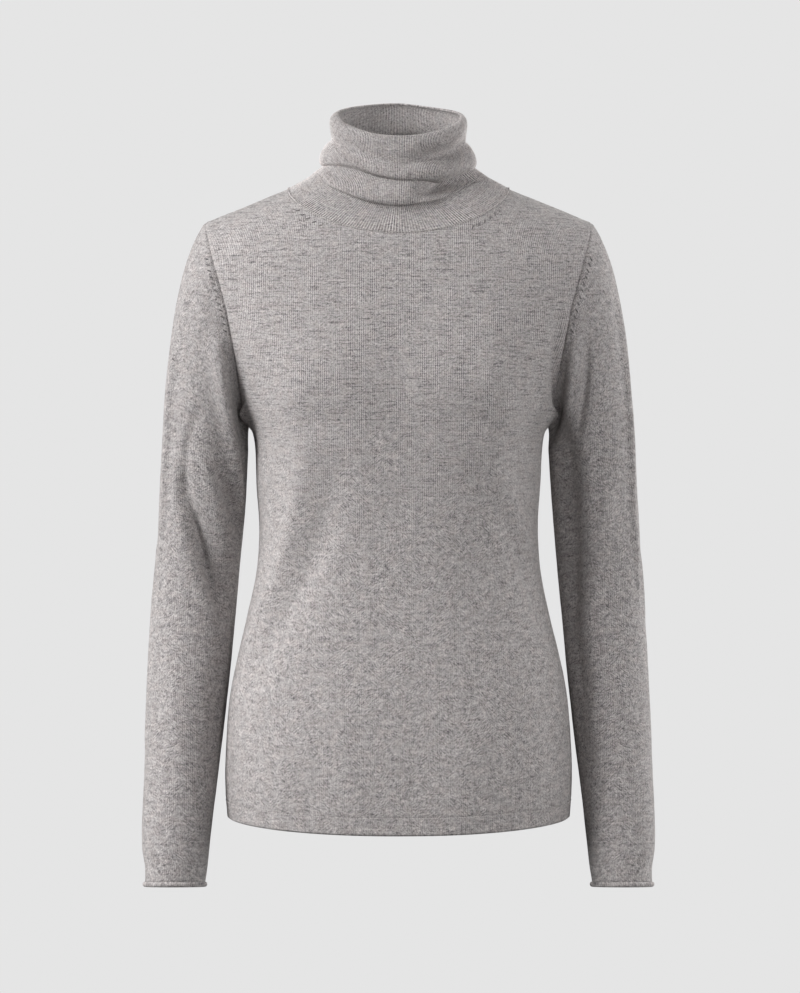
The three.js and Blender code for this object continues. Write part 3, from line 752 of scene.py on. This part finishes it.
# Between which of its own values a pattern fades, and what it fades from and to
FADES = {
    "slubs": (0.5, 0.67, 0, 1),
    "pale": (0.5, 0.7, 0, 0.1),
    "leaning": (0.44, 0.56, 0, 1),
    "knit": (0.4, 0.62, 0.25, 1),
    "tint": (0.4, 0.65, 0, 0.25),
}


def noise(tree, uv, pattern, turn=0.0):
    """A random pattern over cloth coordinates that are turned, then stretched to its size."""
    across, along, detail, roughness, distortion = PATTERNS[pattern]
    place = add(tree, "ShaderNodeMapping", {"Vector": uv}, vector_type="TEXTURE")
    place.inputs["Scale"].default_value = (across * MM, along * MM, 1)
    place.inputs["Rotation"].default_value = (0, 0, math.radians(turn))
    looks = {"Scale": 1.0, "Detail": detail, "Roughness": roughness, "Distortion": distortion}
    return add(tree, "ShaderNodeTexNoise", {"Vector": place.outputs[0], **looks}).outputs["Fac"]


def faded(tree, uv, pattern):
    return ramp(tree, noise(tree, uv, pattern), *FADES[pattern])


def ramp(tree, value, low, high, to_low=0.0, to_high=1.0):
    made = add(tree, "ShaderNodeMapRange", {"Value": value}, interpolation_type="SMOOTHSTEP")
    made.inputs["From Min"].default_value = low
    made.inputs["From Max"].default_value = high
    made.inputs["To Min"].default_value = to_low
    made.inputs["To Max"].default_value = to_high
    return made.outputs[0]


def mix_colour(tree, share, a, b):
    made = add(tree, "ShaderNodeMix", data_type="RGBA")
    link(tree, share, made.inputs[0])
    link(tree, a, made.inputs[6])
    link(tree, b, made.inputs[7])
    return made.outputs[2]


# The wool's colours, and the mean of a knit's relief
LIGHT_WOOL = (0.70, 0.66, 0.65, 1)
DARK_WOOL = (0.085, 0.080, 0.084, 1)
WARM_WOOL = (0.98, 0.89, 0.85, 1)
KNIT_MEAN = 0.66
# The clear knit begins between these levels, which are heights in metres plus this much of a pattern. How
# much of the brushed face is left above there, and how much of the knit below
KNIT_BEGINS = (-0.21, -0.02)
BORDER_RAGGEDNESS = 0.3
BRUSHED_ABOVE = 0.4
KNIT_BELOW = 0.35
MARBLE_CONTRAST = 1.0
FIBRE_LEANS = (38, -42)
FIBRE_CONTRAST = 2.55
FIBRE_RELIEF = 0.9
BUMP_STRENGTH = 0.8
BUMP_DEPTH = 0.45
WOOL_SURFACE = {
    "Roughness": 0.95,
    "Specular IOR Level": 0.2,
    "Sheen Weight": 0.3,
    "Sheen Roughness": 0.55,
    "Sheen Tint": (0.9, 0.88, 0.86, 1),
}


def wool(name, stitches, slub=0.0, shade=0.5, knit=0.9, brushed=False):
    """Mottled grey wool. stitches adds the knit's own relief and takes (tree, u, v).

    The upper body shows its knit clearly. Below it, or everywhere if brushed, the face is fuzzier."""
    material = bpy.data.materials.new(name)
    material.use_nodes = True
    tree = material.node_tree
    tree.nodes.clear()
    uv = add(tree, "ShaderNodeUVMap", uv_map="cloth").outputs[0]
    split = add(tree, "ShaderNodeSeparateXYZ", {0: uv})
    u, v = split.outputs[0], split.outputs[1]
    place = add(tree, "ShaderNodeTexCoord").outputs["Object"]
    height = add(tree, "ShaderNodeSeparateXYZ", {0: place}).outputs[2]
    level = calc(tree, "MULTIPLY_ADD", noise(tree, uv, "border"), BORDER_RAGGEDNESS, height)
    upper = ramp(tree, level, *KNIT_BEGINS, 0, 0 if brushed else 1)
    lower = ramp(tree, upper, 0, 1, 1, BRUSHED_ABOVE)

    def times(a, b):
        return calc(tree, "MULTIPLY", a, b)

    def plus(a, b):
        return calc(tree, "ADD", a, b)

    def around_middle(value, share):
        return times(calc(tree, "SUBTRACT", value, 0.5), share)

    # Dark slubs that run along the courses, and lighter ones between them
    slubs = times(faded(tree, uv, "slubs"), times(upper, -slub))
    pale = faded(tree, uv, "pale")
    # The brushed face's marbling, and fibres that lean either way in patches
    marble = times(around_middle(noise(tree, uv, "marble"), MARBLE_CONTRAST), lower)
    leaning = [noise(tree, uv, "fibres", turn) for turn in FIBRE_LEANS]
    apart = calc(tree, "SUBTRACT", leaning[1], leaning[0])
    fibres = plus(leaning[0], times(faded(tree, uv, "leaning"), apart))
    fuzz = times(noise(tree, uv, "fuzz"), calc(tree, "SUBTRACT", 1, lower))
    fibres = plus(times(fibres, lower), fuzz)
    grey = plus(plus(slubs, pale), plus(marble, around_middle(fibres, FIBRE_CONTRAST)))

    # The knit's relief shapes the bump and is also painted into the colour: painted shade between wales and
    # ribs, painted highlight on the yarn's tops.
    relief = stitches(tree, u, v)
    patches = times(faded(tree, uv, "knit"), ramp(tree, upper, 0, 1, KNIT_BELOW * knit, knit))
    grey = plus(grey, times(calc(tree, "SUBTRACT", relief, KNIT_MEAN), patches))
    colour = mix_colour(tree, calc(tree, "ADD", grey, shade, clamp=True), DARK_WOOL, LIGHT_WOOL)
    warm = add(tree, "ShaderNodeMix", data_type="RGBA", blend_type="MULTIPLY")
    link(tree, faded(tree, uv, "tint"), warm.inputs[0])
    link(tree, colour, warm.inputs[6])
    link(tree, WARM_WOOL, warm.inputs[7])
    bump = add(tree, "ShaderNodeBump", {"Height": plus(relief, times(fibres, FIBRE_RELIEF))})
    bump.inputs["Strength"].default_value = BUMP_STRENGTH
    bump.inputs["Distance"].default_value = BUMP_DEPTH * MM
    shader = add(tree, "ShaderNodeBsdfPrincipled", WOOL_SURFACE)
    tree.links.new(warm.outputs[2], shader.inputs["Base Color"])
    tree.links.new(bump.outputs[0], shader.inputs["Normal"])
    output = add(tree, "ShaderNodeOutputMaterial")
    tree.links.new(shader.outputs[0], output.inputs["Surface"])
    return material


def jersey_stitches(tree, u, v):
    """Wales of V-shaped stitches, 0 between wales and 1 on the yarn."""
    across = calc(tree, "FRACT", calc(tree, "DIVIDE", u, WALE * MM))
    from_middle = calc(tree, "MULTIPLY", calc(tree, "ABSOLUTE", calc(tree, "SUBTRACT", across, 0.5)), 2)
    wale = calc(tree, "SUBTRACT", 1, calc(tree, "POWER", from_middle, 3))
    course = calc(tree, "DIVIDE", v, COURSE * MM)
    slant = calc(tree, "MULTIPLY_ADD", from_middle, STITCH_SLANT, course)
    wave = calc(tree, "SINE", calc(tree, "MULTIPLY", slant, 2 * math.pi))
    yarn = calc(tree, "MULTIPLY_ADD", wave, 0.5, 0.5)
    return calc(tree, "MULTIPLY_ADD", yarn, YARN_SHARE, calc(tree, "MULTIPLY", wale, WALE_SHARE))


def rib_stitches(tree, u, v):
    """Ribs in step with those raised in the mesh, and their courses; in the colour they are painted shade
    in the rib valleys.
    """
    rib = calc(tree, "COSINE", calc(tree, "MULTIPLY", u, 2 * math.pi / (RIB_PITCH * MM)))
    course = calc(tree, "SINE", calc(tree, "MULTIPLY", v, 2 * math.pi / (COURSE * MM)))
    courses = calc(tree, "MULTIPLY_ADD", course, RIB_COURSE_SHARE, KNIT_MEAN)
    return calc(tree, "MULTIPLY_ADD", rib, RIB_SHARE, courses)


def yarn_plies(tree, u, v):
    """The twist of a single yarn."""
    along = calc(tree, "MULTIPLY_ADD", v, PLY_SLANT, u)
    twist = calc(tree, "SINE", calc(tree, "DIVIDE", along, PLY_SCALE * MM))
    return calc(tree, "MULTIPLY_ADD", twist, PLY_SHARE, KNIT_MEAN)


def bead_form():
    """An oval bead of 24 quads: unit directions and the faces between them."""
    steps = (-1, 0, 1)
    corners = [(x, y, z) for x in steps for y in steps for z in steps if (x, y, z) != (0, 0, 0)]
    index = {corner: i for i, corner in enumerate(corners)}
    faces = []
    for axis in range(3):
        for side in steps[::2]:
            for a in (-1, 0):
                for b in (-1, 0):
                    square = [(a, b), (a + 1, b), (a + 1, b + 1), (a, b + 1)][::side]
                    turned = [np.roll((side, p, q), axis) for p, q in square]
                    faces.append([index[tuple(int(c) for c in corner)] for corner in turned])
    return unit(np.array(corners, float)), np.array(faces)


def row_of_stitches(name, path, outwards, closed, row, material):
    """Small oval stitches at even spacing along a line of points on the cloth."""
    if closed:
        path = np.concatenate([path, path[:1]])
        outwards = np.concatenate([outwards, outwards[:1]])
    run = np.concatenate([[0], np.cumsum(np.linalg.norm(np.diff(path, axis=0), axis=-1))])
    count = int(run[-1] / row["spacing"])
    where = (np.arange(count) + 0.5) * run[-1] / count
    centre = np.stack([np.interp(where, run, path[:, i]) for i in range(3)], axis=-1)
    normal = unit(np.stack([np.interp(where, run, outwards[:, i]) for i in range(3)], axis=-1))
    ahead = np.stack([np.interp(where + 0.5, run, path[:, i]) for i in range(3)], axis=-1)
    along = unit(ahead - centre)
    beside = unit(np.cross(normal, along))
    slant = math.radians(row["slant"])
    length = math.cos(slant) * along + math.sin(slant) * beside
    breadth = np.cross(normal, length)
    form, faces = bead_form()
    half = np.array(row["half"])
    local = form * half
    axes = np.stack([length, breadth, normal], axis=1)
    centre = centre + normal * row["raised"]
    vertices = centre[:, None] + np.einsum("vk,nkc->nvc", local, axes)
    uv = (np.stack([where, np.zeros(count)], axis=-1)[:, None] + local[None, :, :2]) * MM
    quads = (faces[None] + len(form) * np.arange(count)[:, None, None]).reshape(-1, 4)
    piece = mesh_object(name, vertices.reshape(-1, 3), quads, uv.reshape(-1, 2)[quads])
    piece.data.materials.append(material)
    return piece


def inset_line(sheet, away, from_end=False):
    """A line on a sheet's outer face at a distance from its first or last row, with its normals."""
    run = distances(sheet.grid, 0)[1 if from_end else 0]
    rows = slice(None, None, -1) if from_end else slice(None)
    outer = sheet.grid + sheet.normals * sheet.relief[..., None]

    def at(values):
        columns = range(values.shape[1])
        axes = [[np.interp(away, run[rows, j], values[rows, j, i]) for j in columns] for i in range(3)]
        return np.array(axes).T

    return at(outer), at(sheet.normals)


def make_sweater():
    materials = {
        "panel": wool("jersey", jersey_stitches, slub=0.25),
        "hem": wool("hem_jersey", jersey_stitches, brushed=True),
        # The sleeves and cuff rolls use a darker copy of the wool (shade 0.45 against 0.5): painted shade
        # for the body's shadow on the sleeves.
        "sleeve": wool("sleeve_jersey_painted_shade", jersey_stitches, shade=0.45, brushed=True),
        # The collar takes the knit's painted shade and highlight more strongly (knit 1.1).
        "collar": wool("rib", rib_stitches, slub=0.08, knit=1.1),
    }
    front = panel_grid("front")
    back = panel_grid("back")
    sheets = {
        "front_panel": Sheet(front, False, 1, JERSEY),
        "back_panel": Sheet(back, False, -1, JERSEY),
        "hem_front": Sheet(hem_grid("front"), False, 1, TURNED_HEM),
        "hem_back": Sheet(hem_grid("back"), False, -1, TURNED_HEM),
        "sleeve_left": Sheet(sleeve_grid(1, front, back), True, -1, JERSEY),
        "sleeve_right": Sheet(sleeve_grid(-1, front, back), True, 1, JERSEY),
    }
    share_seams(sheets.values())
    pieces = {}
    for name, sheet in sheets.items():
        along = distances(sheet.grid, 0)
        if name.endswith("panel"):
            across = distances(sheet.grid, 1)
            on_neck = np.abs(sheet.grid[-1, :, 0]) < NECK_HALF
            sheet.relief += groove(across[0], SEWN_SHARE) + groove(across[1], SEWN_SHARE)
            sheet.relief += groove(along[0], LINKED_SHARE)
            sheet.relief += groove(along[1], np.where(on_neck, LINKED_SHARE, SEWN_SHARE))
        elif name.startswith("sleeve"):
            sheet.relief += groove(along[0], SEWN_SHARE)
        else:
            sheet.relief += groove(along[1], LINKED_SHARE)
        if name.startswith("sleeve"):
            uv = tube_uv(sheet, from_end=True)
        else:
            uv = panel_uv("front" if "front" in name else "back", sheet)
        pieces[name] = wall_mesh(name + "_cloth", sheet, uv, name.startswith("hem"), gap=SEAM_GAP)
        kind = "panel" if name.endswith("panel") else name.split("_")[0]
        pieces[name].data.materials.append(materials[kind])
        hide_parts(name)

    columns = COLLAR_RIBS * COLLAR_STEPS_PER_RIB
    azimuth = np.arange(columns) * 360 / columns
    collar = Sheet(collar_grid(azimuth), True, 1, RIB)
    ribs = np.cos(2 * np.pi * np.arange(columns) / COLLAR_STEPS_PER_RIB)
    pitch = distances(collar.grid, 1)[1][:, :1] / COLLAR_RIBS
    collar.relief = collar.relief + RIB_RELIEF * pitch * ribs
    uv = tube_uv(collar)
    uv[..., 0] = np.arange(columns + 1) * RIB_PITCH * MM / COLLAR_STEPS_PER_RIB
    pieces["collar"] = wall_mesh("collar_cloth", collar, uv, round_ends=True, gap=SEAM_GAP)
    pieces["collar"].data.materials.append(materials["collar"])
    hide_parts("collar")
    sheets["collar"] = collar
    add_stitches(sheets, pieces)
    for side, name in ((1, "left"), (-1, "right")):
        pieces["cuff_" + name] = cuff_roll(side, name, sheets["sleeve_" + name], materials["sleeve"])
    return pieces


def add_stitches(sheets, pieces):
    """The linking of collar and hem, and the fashioning marks beside the armholes and the neckline."""
    light = wool("linking_yarn", yarn_plies, shade=0.66)
    # The fashioning marks are real stitches. Their near-black wool (shade 0.1) is painted shadow of the
    # holes they leave.
    painted_hole_shadow = wool("fashioned_stitches_painted_shadow", yarn_plies, shade=0.1)

    def row(name, line, closed, kind, material):
        pieces[name] = row_of_stitches(name, line[0], line[1], closed, kind, material)

    row("neck_linking", inset_line(sheets["collar"], NECK_LINKS_IN), True, NECK_LINKS, light)
    for face in ("front", "back"):
        line = inset_line(sheets["hem_" + face], HEM_LINKS_IN, True)
        row(f"hem_linking_{face}", line, False, HEM_LINKS, light)
        line = inset_line(sheets[face + "_panel"], FASHIONING_IN, True)
        for side, name in ((1, "left"), (-1, "right")):
            near = between(side * line[0][:, 0], NECK_MARKS_X)
            row(f"neck_marks_{face}_{name}", (line[0][near], line[1][near]), False, FASHIONING, painted_hole_shadow)
    for name in ("left", "right"):
        line = inset_line(sheets["sleeve_" + name], FASHIONING_IN)
        high = between(line[0][:, 2], CAP_MARKS_Z)
        for face, on_face in (("front", line[0][:, 1] < 0), ("back", line[0][:, 1] > 0)):
            chosen = high & on_face
            row(f"cap_marks_{face}_{name}", (line[0][chosen], line[1][chosen]), False, FASHIONING, painted_hole_shadow)


# A cuff's rolled edge: its radius, wall and turn in degrees, how far in from the sleeve's wall it begins,
# and how far below the sleeve's end it begins and rolls up
ROLL_RADIUS = 1.9
ROLL_WALL = 1.3
ROLL_TURN = 300
ROLL_STEPS = 18
ROLL_SET_IN = 1.4
ROLL_START = 0.2
ROLL_DROP = 1.0


def cuff_roll(side, name, sleeve, material):
    """The sleeve's end, which curls outwards into a roll."""
    outwards = unit(sleeve.normals[-1] * (1, 1, 0))
    start = sleeve.grid[-1] - outwards * (sleeve.wall / 2 + ROLL_SET_IN)
    angle = np.radians(np.linspace(0, ROLL_TURN, ROLL_STEPS + 1))
    out = np.concatenate([[0], ROLL_RADIUS * (1 - np.cos(angle))])
    down = np.concatenate([[ROLL_START], ROLL_DROP + ROLL_RADIUS * np.sin(angle)])
    middle = start[None] + outwards[None] * out[:, None, None]
    middle = middle + points(0, 0, -down)[:, None]
    step_out = np.gradient(out)
    step_down = np.gradient(down)
    length = np.hypot(step_out, step_down)
    normal = outwards[None] * (step_down / length)[:, None, None] + points(0, 0, step_out / length)[:, None]
    sheet = Sheet(middle + normal * ROLL_WALL / 2, True, -side, ROLL_WALL)
    sheet.normals = normal
    sheet.relief = np.zeros(middle.shape[:2])
    piece = wall_mesh(f"cuff_roll_{name}_cloth", sheet, tube_uv(sheet), round_ends=True)
    piece.data.materials.append(material)
    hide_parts("cuff_roll_" + name)
    return piece


# Flat width and length of each cut, and its flat area, in metres
CUTS = {
    "front_panel": (0.44, 0.615, 0.22),
    "back_panel": (0.44, 0.62, 0.225),
    "sleeve_left": (0.3, 0.64, 0.139),
    "sleeve_right": (0.3, 0.64, 0.139),
    "collar": (COLLAR_RIBS * RIB_PITCH * MM, 0.12, None),
}


def declare_sheets(pieces):
    """Gathers, for each cut, the pieces sewn to it, and does nothing more with them or with the cut's size.
    """
    for name, (width, length, area) in CUTS.items():
        words = name.split("_")
        if "panel" in words:
            sewn = [k for k in pieces if words[0] in k and k.startswith(("hem", "neck_marks"))]
        elif "sleeve" in words:
            sewn = [k for k in pieces if k.endswith(words[1]) and k.startswith(("cap_marks", "cuff"))]
        else:
            sewn = ["neck_linking"]
        sewn = [pieces[k] for k in sewn]


# The camera's place, what it looks at, and half the height of what it sees there
EYE = (1.4, -3200, -150)
AIM = (1.4, 0, -291.2)
HALF_HEIGHT = 471.7


def make_camera():
    """At the height of the photo's lens, 3.2 m in front."""
    camera = bpy.data.objects.new("camera", bpy.data.cameras.new("camera"))
    bpy.context.scene.collection.objects.link(camera)
    back = np.subtract(EYE, AIM)
    camera.location = np.array(EYE) * MM
    camera.rotation_euler = (math.atan2(-back[1], back[2]), 0, 0)
    camera.data.sensor_width = 36
    camera.data.lens = camera.data.sensor_width / 2 * np.linalg.norm(back) / HALF_HEIGHT
    bpy.context.scene.camera = camera


# How bright the ground looks, and how bright the light is that comes from all round
PALE = 0.783
AMBIENT = 0.08
FLOOR_Z = -1.25
FLOOR_SIZE = 24
# Softboxes round the garment: azimuth from the front towards +X, elevation in degrees, and watts
SOFTBOXES = {
    "left": (-98, 10, 30),
    "left_front": (-66, 10, 54),
    "left_high": (-64, 45, 41),
    "front": (18, 10, 16),
    "right_front": (56, 10, 28),
    "right": (105, 10, 26),
    "right_back": (130, 10, 34),
    "back": (180, 25, 14),
}
SOFTBOX_DISTANCE = 2.8
SOFTBOX_SIZE = 1.4
LIGHT_TARGET = Vector((0, 0, -0.3))


def make_softbox(name, azimuth, elevation, watts):
    data = bpy.data.lights.new(name, "AREA")
    data.shape = "DISK"
    data.size = SOFTBOX_SIZE
    data.energy = watts
    light = bpy.data.objects.new(name, data)
    bpy.context.scene.collection.objects.link(light)
    a, e = math.radians(azimuth), math.radians(elevation)
    way = Vector((math.sin(a) * math.cos(e), -math.cos(a) * math.cos(e), math.sin(e)))
    light.location = LIGHT_TARGET + way * SOFTBOX_DISTANCE
    light.rotation_euler = (-way).to_track_quat("-Z", "Y").to_euler()


def make_studio():
    """A pale studio: softboxes light the cloth, and the pale ground only shows."""
    world = bpy.data.worlds.new("studio")
    bpy.context.scene.world = world
    world.use_nodes = True
    tree = world.node_tree
    seen = tree.nodes.new("ShaderNodeLightPath").outputs["Is Camera Ray"]
    strength = calc(tree, "MULTIPLY_ADD", seen, PALE - AMBIENT, AMBIENT)
    background = tree.nodes["Background"]
    background.inputs["Color"].default_value = (1, 1, 1, 1)
    tree.links.new(strength, background.inputs["Strength"])
    for name, (azimuth, elevation, watts) in SOFTBOXES.items():
        make_softbox(name, azimuth, elevation, watts)

    bpy.ops.mesh.primitive_plane_add(size=FLOOR_SIZE, location=(0, 0, FLOOR_Z))
    floor = bpy.context.object
    floor.name = "floor"
    for ray in ("visible_diffuse", "visible_glossy", "visible_transmission", "visible_shadow"):
        setattr(floor, ray, False)
    material = bpy.data.materials.new("pale_floor")
    material.use_nodes = True
    shader = material.node_tree.nodes["Principled BSDF"]
    shader.inputs["Base Color"].default_value = (0, 0, 0, 1)
    shader.inputs["Specular IOR Level"].default_value = 0
    shader.inputs["Emission Color"].default_value = (PALE, PALE, PALE, 1)
    shader.inputs["Emission Strength"].default_value = 1.0
    floor.data.materials.append(material)
    bpy.context.scene.view_settings.view_transform = "Standard"


make_camera()
pieces = make_sweater()
declare_sheets(pieces)
make_studio()
for piece in pieces.values():
    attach(piece, "root")
